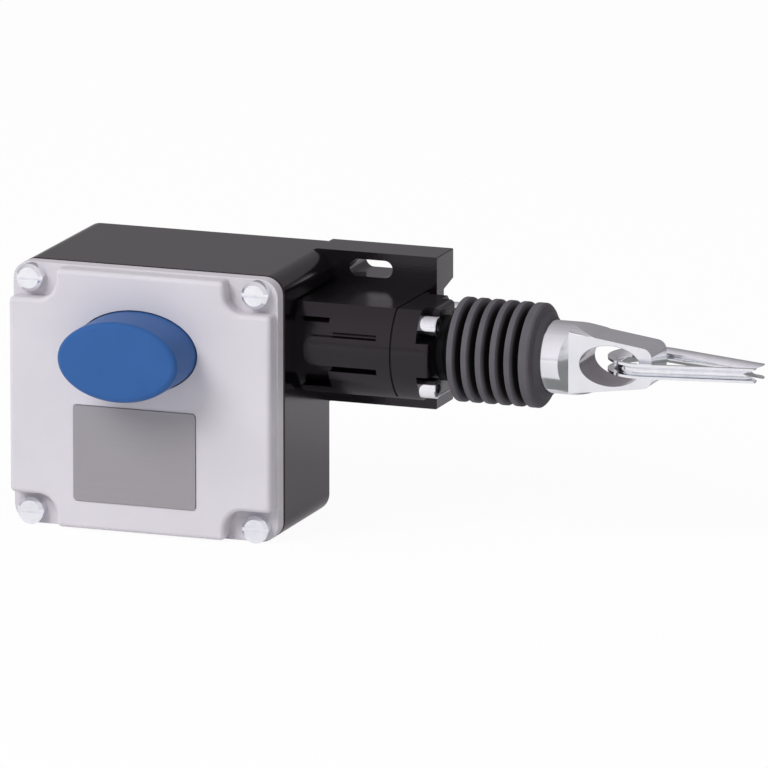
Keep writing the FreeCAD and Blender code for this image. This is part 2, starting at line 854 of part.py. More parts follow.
def plunger_spring():
    top = block_top - plunger_in_block - seat_gap
    bottom = block_top - plunger_bore + seat_gap
    spring = coil(plunger_spring_r, plunger_spring_wire / 2, plunger_spring_turns, top - bottom, 4)
    spring.translate(Vector(plunger_x, axis_y, bottom))
    return spring


def contact_block_screws():
    length = back_y - block_screw_skin - seat_gap - block_step_y
    return compound([slotted_screw(x, z, block_step_y, block_screw_r, block_screw_head_r, block_screw_head_h,
                                   length, small_slot_w, small_slot_depth) for x, z in block_screw_places()])


def terminal_screws():
    return compound([slotted_screw(x, z, block_front_y, terminal_r, terminal_head_r, terminal_head_h,
                                   terminal_len, small_slot_w, small_slot_depth)
                     for x, z in terminal_places()])


def latch_lever():
    """Rocker on a pin: the stem pushes one arm in, and the hook on the other arm leaves the rod's groove."""
    z0, z1 = button_z - latch_h / 2, button_z + latch_h / 2
    tail_x = latch_x - latch_tail
    hub = bar_z(latch_hub_r, z0, z1, latch_x, latch_y)
    beam = block(tail_x, latch_x + latch_arm, latch_front_y, latch_front_y + latch_t, z0, z1)
    hook = block(tail_x, tail_x + latch_hook_w, latch_y, axis_y - rod_tail_r - latch_rod_gap, z0, z1)
    pin_hole = bar_z(latch_pin_r + latch_pin_fit, z0 - over, z1 + over, latch_x, latch_y)
    return join(hub, [beam, hook]).cut(pin_hole)


def latch_bracket():
    """Sheet bracket that stands on the base's back wall and carries the latch pin in two lugs."""
    x0, x1 = latch_x - bracket_w / 2, latch_x + bracket_w / 2
    front = latch_y - bracket_w / 2
    reach = bracket_far + bracket_foot
    lower = block(x0, x1, front, inside_back_y, axis_z - bracket_far, axis_z - bracket_near)
    upper = block(x0, x1, front, inside_back_y, axis_z + bracket_near, axis_z + bracket_far)
    foot = block(x0, x1, inside_back_y - bracket_foot_t, inside_back_y, axis_z - reach, axis_z + reach)
    return join(lower, [upper, foot]).cut(latch_pin_bar(bracket_far + over))


def latch_pin_bar(reach):
    """Bar along the latch pin, as far as this above and below the pull axis."""
    return bar_z(latch_pin_r, axis_z - reach, axis_z + reach, latch_x, latch_y)


def latch_pin():
    return latch_pin_bar(bracket_far + latch_pin_proud)


def bellows_folds_profile(inset):
    """Base ring and folds as (x, radius) points, moved inwards by the wall for the inner line."""
    points = [(cap_front_x, bellows_base_r - inset), (cap_front_x + bellows_base_t, bellows_base_r - inset)]
    half = (bellows_crest_w - inset) / 2
    for k in range(bellows_folds):
        x = cap_front_x + bellows_first_crest + k * bellows_pitch
        points.append((x - bellows_pitch / 2, bellows_root_r - inset))
        points.append((x - half, bellows_r - inset))
        points.append((x + half, bellows_r - inset))
    return points


def bellows():
    """Six folds, a base ring on the cap and a stepped end whose lip grips the eye's shank."""
    shoulder_r = bellows_r - bellows_shoulder
    inner_x = bellows_face_x - bellows_wall
    outer = bellows_folds_profile(0)
    step_end = bellows_face_x + bellows_step_len
    outer += [(bellows_face_x, shoulder_r), (step_end, bellows_step_r),
              (step_end, bellows_step_r - bellows_step), (lip_end, bellows_lip_r)]
    inner = bellows_folds_profile(bellows_wall)
    inner += [(inner_x, shoulder_r - bellows_wall), (inner_x, eye_shank_r), (lip_end, eye_shank_r)]
    return turned_x(outer + inner[::-1])


def hole_edge(side):
    """Cutter for the bevelled rim of the eye's hole, on one side of the plate."""
    y = axis_y + side * eye_plate_t / 2
    grow = 4 * eye_hole_edge
    narrow = oval_wire(eye_hole_x, axis_z, eye_hole_w, eye_hole_h, y - side * eye_hole_edge)
    wide = oval_wire(eye_hole_x, axis_z, eye_hole_w + grow, eye_hole_h + grow, y + side * eye_hole_edge)
    return Part.makeLoft([narrow, wide], True, True)


def rope_eye():
    """Round shank that a cone and two milled flats turn into a tapered plate with a large hole."""
    half_t = eye_plate_t / 2
    cone_end = shank_end + eye_cone_len
    hub = turned_x([(shank_start, 0), (shank_start, eye_shank_r), (shank_end, eye_shank_r),
                    (cone_end, half_t + eye_cone_edge), (cone_end, 0)])
    root_x = shank_end - eye_plate_root
    left, right = eye_left_h / 2, eye_right_h / 2
    plate = plate_y([(root_x, axis_z - left, 0), (eye_end, axis_z - right, eye_corner_r),
                     (eye_end, axis_z + right, eye_corner_r), (root_x, axis_z + left, 0)],
                    axis_y - half_t, axis_y + half_t)
    eye = join(hub, [plate.common(bar_x(eye_bar_r, root_x, eye_end + over))])
    eye = eye.cut(oval_y(eye_hole_x, axis_z, eye_hole_w, eye_hole_h, axis_y - half_t - over,
                         axis_y + half_t + over))
    for cut in [hole_edge(-1), hole_edge(1), bar_x(rod_r, shank_start - over, shank_start + eye_socket)]:
        eye = eye.cut(cut)
    return eye


def thimble_section():
    """U section in the XZ plane at the thimble's centre, its groove open towards -X, bearing side at +X."""
    half = thimble_h / 2
    groove = half - thimble_wall
    inner_x, outer_x = -thimble_in_r, -thimble_in_r - thimble_depth
    mid_x = inner_x - half
    walls = [[(outer_x, -half), (mid_x, -half)],
             [(mid_x, half), (outer_x, half), (outer_x, groove), (mid_x, groove)],
             [(mid_x, -groove), (outer_x, -groove), (outer_x, -half)]]
    edges = [Part.LineSegment(Vector(a[0], 0, a[1]), Vector(b[0], 0, b[1])).toShape()
             for wall in walls for a, b in zip(wall, wall[1:])]
    for r in (half, groove):
        arc = Part.Arc(Vector(mid_x, 0, -r), Vector(mid_x + r, 0, 0), Vector(mid_x, 0, r))
        edges.append(arc.toShape())
    return Part.Face(Part.Wire(Part.__sortEdges__(edges)))


def rope_thimble():
    """Channel bent round the eye: a round crown, two legs that close in, and an open mouth at the tip."""
    section = thimble_section()
    turn = 90 + thimble_half_angle
    start = section.copy()
    start.rotate(origin, along_z, -turn)
    crown = start.revolve(origin, along_z, 2 * turn)
    lean = math.radians(thimble_half_angle)
    legs = []
    for side in (-1, 1):
        end = section.copy()
        end.rotate(origin, along_z, side * turn)
        legs.append(end.extrude(Vector(math.cos(lean), side * math.sin(lean), 0) * thimble_len))
    reach = thimble_len - thimble_in_r - thimble_depth
    wide = thimble_len
    shape = join(crown, legs).common(block(-wide, reach, -wide, wide, -wide, wide))
    mouth = plate_y([(reach + over, -thimble_h / 2, 0), (reach + over, thimble_h / 2, 0),
                     (reach - thimble_mouth, 0, 0)], -wide, wide)
    shape = shape.cut(mouth)
    shape.rotate(origin, along_z, thimble_yaw)
    shape.translate(Vector(thimble_x, thimble_y, axis_z))
    return shape


def earth_screw():
    return slotted_screw(earth_x, earth_z, earth_seat_y, earth_r, earth_head_r, earth_head_h,
                         earth_boss_h - earth_end_gap, screw_slot_w, earth_slot_depth)


def label_plate():
    return label_solid(0, label_seat, label_t - label_seat)


NODES = [base_housing, cover, cover_gasket, cover_screws, label_plate, reset_button, button_stem, button_ring,
         button_seal, button_spring, neck_seal, neck_cap, cap_screws, front_bush, rear_bush, main_spring,
         spring_washer, rod_snap_ring, pull_rod, cam_sleeve, cam_pin, contact_plunger, plunger_spring,
         contact_block, contact_block_screws, terminal_screws, latch_lever, latch_bracket, latch_pin, bellows,
         rope_eye, rope_thimble, earth_screw]

for make in NODES:
    make().exportStep("parts/" + make.__name__ + ".step")
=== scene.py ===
import math

import bpy
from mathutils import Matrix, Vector


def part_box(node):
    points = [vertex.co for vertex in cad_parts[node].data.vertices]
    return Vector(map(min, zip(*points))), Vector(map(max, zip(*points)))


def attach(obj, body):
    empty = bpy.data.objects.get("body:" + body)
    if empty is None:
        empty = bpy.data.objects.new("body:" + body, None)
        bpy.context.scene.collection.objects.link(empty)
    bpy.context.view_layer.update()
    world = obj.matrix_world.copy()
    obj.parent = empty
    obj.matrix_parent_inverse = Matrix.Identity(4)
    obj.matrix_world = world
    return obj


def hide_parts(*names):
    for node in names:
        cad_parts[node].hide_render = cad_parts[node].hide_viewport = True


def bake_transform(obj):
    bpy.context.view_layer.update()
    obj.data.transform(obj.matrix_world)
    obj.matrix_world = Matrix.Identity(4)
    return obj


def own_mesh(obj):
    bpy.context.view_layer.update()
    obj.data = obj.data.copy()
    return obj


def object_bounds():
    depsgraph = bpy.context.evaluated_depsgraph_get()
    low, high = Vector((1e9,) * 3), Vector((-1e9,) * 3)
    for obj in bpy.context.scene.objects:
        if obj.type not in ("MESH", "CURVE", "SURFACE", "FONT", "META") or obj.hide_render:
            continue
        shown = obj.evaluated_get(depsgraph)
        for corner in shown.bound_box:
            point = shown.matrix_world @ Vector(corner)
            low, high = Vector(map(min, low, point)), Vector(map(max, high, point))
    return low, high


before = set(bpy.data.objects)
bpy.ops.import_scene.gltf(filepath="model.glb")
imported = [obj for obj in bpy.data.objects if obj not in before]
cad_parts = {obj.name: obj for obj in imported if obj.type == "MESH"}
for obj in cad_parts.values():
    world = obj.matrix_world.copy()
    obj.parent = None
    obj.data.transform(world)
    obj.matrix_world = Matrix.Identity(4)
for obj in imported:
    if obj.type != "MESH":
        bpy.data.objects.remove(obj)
cad_low, cad_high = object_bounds()

# The rope pulls along +X, the wall is at +Y and +Z is up. Lengths times MM are metres, as in the frame
MM = 0.001
TOUCH = 0.01 * MM
QUARTER_TURN = math.radians(90)

# Camera, as far off as a long lens puts it. Its distances are in metres, its sensor is in millimetres
AZIMUTH = math.radians(20.3)
ELEVATION = math.radians(12.9)
AIM = Vector((10.3, -31.0, 5.7)) * MM
DISTANCE = 4.0
SIGHT_END = 100.0
VIEW_WIDTH = 230.6 * MM
SENSOR = 36.0

# Light, and the floor in metres
WHITE = (1.0, 1.0, 1.0, 1.0)
WORLD_LIGHT = 0.42
MIRRORED_ABOVE = 0.66
MIRRORED_FALL = 0.36
MIRRORED_TINT = (1.0, 0.95, 1.0, 1.0)
FLOOR_SIZE = 12.0
FLOOR_GAP = 0.2 * MM
FLOOR_TONE = (0.93, 0.93, 0.93, 1.0)
FLOOR_SEEN = 0.95
FLOOR_MIRRORED = 0.4

# Rubber bellows, in the CAD bellows' place
RING_POINTS = 96
FOLDS = 6
FOLD_PITCH = 4.55 * MM
FIRST_CREST = 6.2 * MM
CREST_HALF = 0.85 * MM
CREST_ROUND = 0.75 * MM
CREST_STEPS = 4
CREST_CORNER = math.radians(20)
ROOT_R = 12.0 * MM
BASE_R = 9.9 * MM
BASE_LEN = 2.0 * MM
SHOULDER = 0.6 * MM
STEP_R = 13.7 * MM
STEP_LEN = 1.2 * MM
STEP = 0.35 * MM
LIP_R = 12.1 * MM
LIP_LEN = 2.8 * MM
RUBBER_WALL = 1.0 * MM
FIT = 0.05 * MM

# The pull axis. The lengths named from here on are in millimetres
AXIS_Y = -31.0
AXIS_Z = 18.5

# Painted light and shade on the bellows: pale as if lit off the pull axis on the crests, and along it on
# the end face; near-black as painted shade in the valleys between
CREST_LIGHT_SPAN = 20.0
CREST_LIGHT_FROM = 14.0
CREST_LIGHT_TO = 15.3
END_FACE_SPAN = 100.0
END_FACE_FROM = 60.0
END_FACE_TO = 60.4
END_FACE_SHARE = 0.7

# Fineness of the turned shapes, and how far a cutter runs past what it cuts
TURNED_POINTS = 128
HOLE_POINTS = 96
BORE_POINTS = 64
POCKET_POINTS = 48
SCREW_HOLE_POINTS = 32
CORNER_STEPS = 6
PAST = 1.0
BEYOND = 20.0
CLEAR = 0.03

# Faces that meet at less than this angle are smoothed
SMOOTH_RUBBER = math.radians(35)
SMOOTH_METAL = math.radians(20)

# Eye on the rod. The painted shade on its hole's wall fades out between the two last values, which are
# squares of the distance from the hole's middle as a share of the hole's half size
EYE_SHANK_R = 11.0
EYE_SHOULDER_FROM_END = 26.2
EYE_SHOULDER_SLOPE = 2.0
EYE_HALF_T = 6.95
EYE_ROOT_HALF_H = 9.7
EYE_END_HALF_H = 5.8
EYE_ROOT_FROM_END = 28.3
EYE_BAR_R = 11.7
EYE_CORNER_R = 2.6
EYE_SLOPE_FROM = 26.2
EYE_SLOPE_TO = 17.6
EYE_SLOPE_END_H = 8.2
EYE_EDGE = 0.35
EYE_EDGE_STEPS = 2
EYE_EDGE_CORNER = math.radians(30)
EYE_SOCKET_R = 6.0
EYE_SOCKET_LEN = 5.0
EYE_HOLE_FROM_END = 13.1
EYE_HOLE_HALF_W = 9.6
EYE_HOLE_HALF_H = 6.15
EYE_WALL_FULL = 1.02
EYE_WALL_GONE = 1.05

# End cap of the neck
CAP_R = 17.4
CAP_FLAT_UP = 13.4
CAP_FLAT_DOWN = 14.4
CAP_BACK = 16.4
CAP_EDGE = 1.5
CAP_BORE_R = 8.05
CAP_SCREW_ACROSS = 10.6
CAP_SCREW_UP = 8.6
CAP_SCREW_DOWN = 10.2
CAP_SCREW_HOLE_R = 1.85
CAP_POCKET_R = 4.2
CAP_POCKET_DEPTH = 4.0


def srgb(red, green, blue):
    """A colour given as 0 to 255 screen values, in Blender's linear light."""
    def linear(value):
        """The screen standard's own curve."""
        share = value / 255
        return share / 12.92 if share <= 0.04045 else ((share + 0.055) / 1.055) ** 2.4
    return (linear(red), linear(green), linear(blue), 1.0)


class Value:
    """One output socket of a node tree. Arithmetic on it adds Math nodes."""

    def __init__(self, tree, socket):
        self.tree = tree
        self.socket = socket

    def math(self, operation, first, second):
        """One Math node on two values or numbers."""
        return self.tree.add("ShaderNodeMath", {"operation": operation}, {0: first, 1: second})

    def __add__(self, other):
        return self.math("ADD", self, other)

    def __radd__(self, other):
        return self.math("ADD", other, self)

    def __sub__(self, other):
        return self.math("SUBTRACT", self, other)

    def __rsub__(self, other):
        return self.math("SUBTRACT", other, self)

    def __mul__(self, other):
        return self.math("MULTIPLY", self, other)

    def __rmul__(self, other):
        return self.math("MULTIPLY", other, self)

    def __pow__(self, other):
        return self.math("POWER", self, other)


class Tree:
    """The nodes of one material or of the world."""

    def __init__(self, owner):
        owner.use_nodes = True
        self.owner = owner
        self.nodes = owner.node_tree.nodes
        self.links = owner.node_tree.links
        self.nodes.clear()

    def add(self, kind, settings=None, inputs=None, output=0):
        """Adds a node. Of its settings, "stops" are a ramp's pairs of place and colour."""
        node = self.nodes.new(kind)
        for name, value in (settings or {}).items():
            if name == "stops":
                self.set_stops(node.color_ramp, value)
            else:
                setattr(node, name, value)
        for name, value in (inputs or {}).items():
            if isinstance(value, Value):
                self.links.new(value.socket, node.inputs[name])
            else:
                node.inputs[name].default_value = value
        return Value(self, node.outputs[output]) if node.outputs else None

    def set_stops(self, ramp, stops):
        """Gives a ramp its places and colours."""
        while len(ramp.elements) < len(stops):
            ramp.elements.new(0.5)
        for element, (place, colour) in zip(ramp.elements, stops):
            element.position = place
            element.color = colour

    def place(self, stretch=(1, 1, 1)):
        """The point on the piece, with its x, y and z stretched."""
        here = self.add("ShaderNodeTexCoord", output="Object")
        return self.add("ShaderNodeMapping", None, {"Vector": here, "Scale": stretch})

    def noise(self, scale, detail=2.0, place=None):
        """Soft noise from 0 to 1, with so many lumps to a metre."""
        inputs = {"Vector": place or self.place(), "Scale": scale, "Detail": detail}
        return self.add("ShaderNodeTexNoise", None, inputs)

    def point(self):
        """The point's own x, y and z in the frame."""
        here = self.add("ShaderNodeTexCoord", output="Object")
        return [self.add("ShaderNodeSeparateXYZ", None, {0: here}, output=k) for k in range(3)]

    def from_axis(self):
        """How far the point is from the pull axis, and how far along it."""
        x, y, z = self.point()
        across, up = y - AXIS_Y * MM, z - AXIS_Z * MM
        return (across * across + up * up) ** 0.5, x

    def in_eye_hole(self):
        """1 on the wall of the eye's hole, where painted shade darkens the steel."""
        x, _, z = self.point()
        centre_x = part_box("rope_eye")[1].x - EYE_HOLE_FROM_END * MM
        along = (x - centre_x) * (1 / (EYE_HOLE_HALF_W * MM))
        up = (z - AXIS_Z * MM) * (1 / (EYE_HOLE_HALF_H * MM))
        half = 0.5  # a ramp ends at 1, so the squares are halved to reach past the wall
        stops = (0.0, 1.0), (EYE_WALL_FULL * half, 1.0), (EYE_WALL_GONE * half, 0.0)
        return self.ramp((along * along + up * up) * half, *stops)

    def ramp(self, value, *stops):
        """Blends between colours or greys at places on a value."""
        def tone(colour):
            """A grey is given as one number."""
            return colour if isinstance(colour, tuple) else (colour,) * 3 + (1.0,)
        pairs = [(place, tone(colour)) for place, colour in stops]
        return self.add("ShaderNodeValToRGB", {"stops": pairs}, {"Fac": value})

    def mix(self, share, first, second):
        """Blends two colours."""
        return self.add("ShaderNodeMix", {"data_type": "RGBA"}, {0: share, 6: first, 7: second}, output=2)

    def bump(self, height, distance):
        """Relief as high as the distance, in metres, where the height is 1."""
        return self.add("ShaderNodeBump", None, {"Height": height, "Distance": distance, "Strength": 1.0})


def finish(name, build):
    """A material whose surface values come from build, as a dict of Principled sockets."""
    tree = Tree(bpy.data.materials.new(name))
    shader = tree.add("ShaderNodeBsdfPrincipled", None, build(tree))
    tree.add("ShaderNodeOutputMaterial", None, {"Surface": shader})
    return tree.owner


def black_paint(tree):
    """Black stoved paint on die-cast metal: fine orange peel, slightly uneven gloss."""
    peel = tree.noise(1400, 3.0)
    patches = tree.noise(60, 3.0)
    return {
        "Base Color": tree.ramp(patches, (0.3, srgb(12, 9, 13)), (0.7, srgb(17, 14, 18))),
        "Roughness": 0.13 + patches * 0.06,
        "Specular IOR Level": 0.41,
        "Specular Tint": (1.0, 0.94, 1.0, 1.0),
        "Normal": tree.bump(peel, 0.02 * MM),
    }


def grey_paint(tree):
    """Light grey powder coat: faint speckle and orange peel."""
    peel = tree.noise(1100, 3.0)
    speckle = tree.noise(5200)
    patches = tree.noise(45)
    tone = tree.ramp(patches, (0.35, srgb(208, 204, 211)), (0.65, srgb(204, 200, 207)))
    return {
        "Base Color": tree.mix(tree.ramp(speckle, (0.6, 0.0), (0.72, 0.35)), tone, srgb(196, 192, 196)),
        "Roughness": 0.42 + patches * 0.1,
        "Normal": tree.bump(peel, 0.035 * MM),
    }


def blue_plastic(tree):
    """Moulded blue plastic with a fine spark-eroded face."""
    grain = tree.noise(4200)
    patches = tree.noise(80)
    return {
        "Base Color": tree.ramp(patches, (0.3, srgb(47, 89, 148)), (0.7, srgb(51, 93, 153))),
        "Roughness": 0.36 + grain * 0.1,
        "Specular IOR Level": 0.16,
        "Normal": tree.bump(grain, 0.015 * MM),
    }


def label_foil(tree):
    """Matt grey foil with fine level brush lines."""
    lines = tree.noise(900, place=tree.place(stretch=(0.02, 1, 4)))
    patches = tree.noise(70)
    return {
        "Base Color": tree.mix(lines * 0.35, srgb(154, 151, 156), srgb(140, 137, 142)),
        "Roughness": 0.42 + patches * 0.12,
        "Metallic": 0.25,
        "Normal": tree.bump(lines, 0.01 * MM),
    }


def machined_steel(tree):
    """Bright turned steel: fine rings round the pull axis, and painted shade on the wall of the eye's hole.
    """
    rings = tree.noise(2600, place=tree.place(stretch=(1, 0.03, 0.03)))
    cloud = tree.noise(90, 3.0)
    bright = tree.ramp(cloud, (0.3, srgb(238, 240, 243)), (0.7, srgb(230, 232, 236)))
    # Darker steel as painted shade on the wall of the eye's hole
    hole_shade = tree.ramp(cloud, (0.3, srgb(172, 169, 176)), (0.7, srgb(156, 153, 160)))
    return {
        "Base Color": tree.mix(tree.in_eye_hole(), bright, hole_shade),
        "Roughness": 0.13 + rings * 0.06,
        "Metallic": 1.0,
        "Normal": tree.bump(rings, 0.004 * MM),
    }


def zinc_steel(tree):
    """Bright zinc plate over pressed steel: soft spangle, smoother than the turned parts."""
    spangle = tree.noise(420, 4.0)
    cloud = tree.noise(120)
    return {
        "Base Color": tree.ramp(spangle, (0.35, srgb(242, 244, 247)), (0.65, srgb(234, 236, 240))),
        "Roughness": 0.1 + cloud * 0.06,
        "Metallic": 1.0,
        "Normal": tree.bump(spangle, 0.004 * MM),
    }


def spring_steel(tree):
    """Oiled drawn wire."""
    drawn = tree.noise(700)
    return {
        "Base Color": tree.ramp(drawn, (0.3, srgb(150, 148, 152)), (0.7, srgb(124, 122, 126))),
        "Roughness": 0.3 + drawn * 0.15,
        "Metallic": 1.0,
        "Normal": tree.bump(drawn, 0.01 * MM),
    }


def bronze(tree):
    """Sintered bronze bush with open pores."""
    pores = tree.noise(3600)
    return {
        "Base Color": tree.ramp(pores, (0.35, srgb(120, 84, 48)), (0.6, srgb(186, 140, 88))),
        "Roughness": 0.38 + pores * 0.2,
        "Metallic": 1.0,
        "Normal": tree.bump(pores, 0.03 * MM),
    }


def inner_plastic(tree):
    """Glass-filled off-white plastic of the inner parts."""
    fibres = tree.noise(2400, 3.0, tree.place(stretch=(1, 0.2, 0.2)))
    return {
        "Base Color": tree.ramp(fibres, (0.3, srgb(206, 202, 190)), (0.7, srgb(222, 219, 208))),
        "Roughness": 0.45 + fibres * 0.15,
        "Normal": tree.bump(fibres, 0.015 * MM),
    }


def seal_rubber(tree):
    """Dull black rubber of the gaskets."""
    dust = tree.noise(900, 3.0)
    return {
        "Base Color": tree.ramp(dust, (0.35, srgb(14, 14, 15)), (0.7, srgb(24, 24, 26))),
        "Roughness": 0.6 + dust * 0.15,
        "Normal": tree.bump(dust, 0.02 * MM),
    }


def bellows_rubber(tree):
    """Dark grey rubber with a satin moulded skin and a little bloom, painted pale as light on the crests
    and the end face and near-black as shade in the valleys.
    """
    skin = tree.noise(2600, 3.0)
    bloom = tree.noise(110, 3.0)
    lit_tone = tree.ramp(bloom, (0.3, srgb(86, 83, 90)), (0.7, srgb(95, 92, 98)))
    # Painted light on the crests and painted shade in the valleys, by distance from the pull axis; painted
    # light on the end face, by distance along it
    off_axis, along = tree.from_axis()
    crest = tree.ramp(off_axis * (1 / (CREST_LIGHT_SPAN * MM)),
                      (CREST_LIGHT_FROM / CREST_LIGHT_SPAN, 0.0),
                      (CREST_LIGHT_TO / CREST_LIGHT_SPAN, 1.0))
    end_face = tree.ramp(along * (1 / (END_FACE_SPAN * MM)),
                         (END_FACE_FROM / END_FACE_SPAN, 0.0),
                         (END_FACE_TO / END_FACE_SPAN, END_FACE_SHARE))
    return {
        "Base Color": tree.mix(crest.math("MAXIMUM", crest, end_face), srgb(16, 15, 17), lit_tone),
        "Roughness": 0.5 + bloom * 0.14,
        "Specular IOR Level": 0.25,
        "Normal": tree.bump(skin, 0.02 * MM),
    }


FINISHES = {
    "base_paint": black_paint,
    "cover_paint": grey_paint,
    "button_plastic": blue_plastic,
    "label_foil": label_foil,
    "steel": machined_steel,
    "zinc_steel": zinc_steel,
    "spring_steel": spring_steel,
    "bronze": bronze,
    "inner_plastic": inner_plastic,
    "seal_rubber": seal_rubber,
    "bellows_rubber": bellows_rubber,
}


def dress_nodes(materials):
    """Gives each CAD node the finish of the slot that it was packed with."""
    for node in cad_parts.values():
        for slot in node.material_slots:
            slot.material = materials[slot.material.name]


def grab_new(name):
    """Names the piece that an operator has just added."""
    piece = bpy.context.object
    piece.name = name
    piece.data.name = name
    return piece


def clear_selection():
    """Leaves nothing for an operator to act on by mistake."""
    for piece in bpy.context.selected_objects:
        piece.select_set(False)
    bpy.context.view_layer.objects.active = None


def apply_modifiers(piece):
    """Puts every modifier of the piece into its mesh."""
    bpy.context.view_layer.objects.active = piece
    for modifier in list(piece.modifiers):
        bpy.ops.object.modifier_apply(modifier=modifier.name)


def place_in_mesh():
    """Puts the selected piece's place, turn and scale into its mesh."""
    bpy.ops.object.transform_apply(location=True, rotation=True, scale=True)


def settle(piece, smooth=SMOOTH_RUBBER):
    """Puts the piece's place into its mesh, and smooths faces that meet at less than this angle."""
    piece.select_set(True)
    bpy.context.view_layer.objects.active = piece
    place_in_mesh()
    bpy.ops.object.shade_smooth_by_angle(angle=smooth)


def face_outward():
    """Turns every face of the mesh that is being edited outward."""
    bpy.ops.mesh.select_all(action="SELECT")
    bpy.ops.mesh.normals_make_consistent(inside=False)


def bellows_rings(start_x, outer_r):
    """The outer line of the bellows as (x, radius) steps from the cap to the eye's shank."""
    steps = [(start_x + BASE_LEN, BASE_R)]
    for fold in range(FOLDS):
        crest_x = start_x + FIRST_CREST + fold * FOLD_PITCH
        steps.append((crest_x - FOLD_PITCH / 2, ROOT_R))
        steps.append((crest_x - CREST_HALF, outer_r))
        steps.append((crest_x + CREST_HALF, outer_r))
    face_x = steps[-1][0] + CREST_ROUND
    steps[-1] = (face_x, outer_r)
    steps.append((face_x + SHOULDER, outer_r - SHOULDER))
    steps.append((face_x + STEP_LEN, STEP_R))
    steps.append((face_x + STEP_LEN, STEP_R - STEP))
    steps.append((face_x + LIP_LEN, LIP_R))
    steps.append((face_x + LIP_LEN, EYE_SHANK_R * MM + FIT))
    return steps


def rubber_bellows():
    """Rings drawn out along the pull axis one after another, rounded and given their wall."""
    low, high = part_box("bellows")
    axis = (low + high) / 2
    outer_r = (high.z - low.z) / 2
    clear_selection()
    bpy.ops.mesh.primitive_circle_add(vertices=RING_POINTS, radius=BASE_R, location=(low.x, axis.y, axis.z),
                                      rotation=(0, QUARTER_TURN, 0))
    piece = grab_new("rubber_bellows")
    bpy.ops.object.mode_set(mode="EDIT")
    bpy.ops.mesh.select_all(action="SELECT")
    last_x, last_r = low.x, BASE_R
    for x, radius in bellows_rings(low.x, outer_r):
        bpy.ops.mesh.extrude_region_move(TRANSFORM_OT_translate={"value": (x - last_x, 0, 0)})
        share = radius / last_r
        bpy.ops.transform.resize(value=(1, share, share), center_override=(x, axis.y, axis.z))
        last_x, last_r = x, radius
    face_outward()
    bpy.ops.object.mode_set(mode="OBJECT")
    rounding = piece.modifiers.new("rounding", "BEVEL")
    rounding.width = CREST_ROUND
    rounding.segments = CREST_STEPS
    rounding.angle_limit = CREST_CORNER
    wall = piece.modifiers.new("wall", "SOLIDIFY")
    wall.thickness = RUBBER_WALL
    wall.offset = -1
    apply_modifiers(piece)
    settle(piece)
    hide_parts("bellows")
    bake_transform(piece)
    return piece


def bar_along_x(radius, start, end, y, z, points=BORE_POINTS):
    """Round bar along the pull axis, for a cap or a cutter, in millimetres."""
    bpy.ops.mesh.primitive_cylinder_add(vertices=points, radius=radius * MM, depth=(end - start) * MM,
                                        location=((start + end) / 2 * MM, y * MM, z * MM),
                                        rotation=(0, QUARTER_TURN, 0))
    return bpy.context.object


def block_of(x0, x1, y0, y1, z0, z1):
    """Block between corners, for a cutter, in millimetres."""
    centre = ((x0 + x1) / 2 * MM, (y0 + y1) / 2 * MM, (z0 + z1) / 2 * MM)
    bpy.ops.mesh.primitive_cube_add(size=1.0, location=centre,
                                    scale=((x1 - x0) * MM, (y1 - y0) * MM, (z1 - z0) * MM))
    return bpy.context.object


def combine(piece, other, operation):
    """Joins the other shape to the piece, takes it out or keeps what the two share, and uses it up."""
    modifier = piece.modifiers.new("other_shape", "BOOLEAN")
    modifier.object = other
    modifier.operation = operation
    modifier.solver = "EXACT"
    apply_modifiers(piece)
    bpy.data.objects.remove(other, do_unlink=True)


def slice_off(point, normal):
    """Cuts the mesh that is being edited along a plane, drops what lies beyond it and closes the cut."""
    unit = Vector(normal).normalized()
    bpy.ops.mesh.select_all(action="SELECT")
    bpy.ops.mesh.bisect(plane_co=point, plane_no=unit, clear_outer=True, use_fill=True)


def slope_in(x, half_height, fall, run):
    """Cuts the top and bottom of the mesh that is being edited toward the pull axis, from x on."""
    for side in (-1, 1):
        slice_off((x * MM, 0, (AXIS_Z + side * half_height) * MM), (fall, 0, side * run))


def round_edges(piece, radius, chosen):
    """Rounds the edges that the test picks by their two ends."""
    bpy.ops.object.mode_set(mode="EDIT")
    bpy.ops.mesh.select_mode(type="EDGE")
    bpy.ops.mesh.select_all(action="DESELECT")
    bpy.ops.object.mode_set(mode="OBJECT")
    points = piece.data.vertices
    for edge in piece.data.edges:
        edge.select = chosen(*(points[index].co for index in edge.vertices))
    bpy.ops.object.mode_set(mode="EDIT")
    bpy.ops.mesh.bevel(offset=radius * MM, segments=CORNER_STEPS, profile=0.5)
    face_outward()
    bpy.ops.object.mode_set(mode="OBJECT")


def eye_plate(root, end):
    """Plate that tapers to the eye's end, with its corners rounded and its edges inside the bar."""
    def at_end(first, last):
        """Whether an edge crosses the plate at its end."""
        return min(first.x, last.x) > end * MM - TOUCH and abs(first.z - last.z) < TOUCH

    block_of(root, end, AXIS_Y - EYE_HALF_T, AXIS_Y + EYE_HALF_T, AXIS_Z - EYE_BAR_R, AXIS_Z + EYE_BAR_R)
    piece = grab_new("pull_eye")
    place_in_mesh()
    bpy.ops.object.mode_set(mode="EDIT")
    slope_in(root, EYE_ROOT_HALF_H, fall=EYE_ROOT_HALF_H - EYE_END_HALF_H, run=EYE_ROOT_FROM_END)
    bpy.ops.object.mode_set(mode="OBJECT")
    round_edges(piece, EYE_CORNER_R, at_end)
    clear_selection()
    bar = bar_along_x(EYE_BAR_R, root - PAST, end + PAST, AXIS_Y, AXIS_Z, TURNED_POINTS)
    combine(piece, bar, "INTERSECT")
    return piece


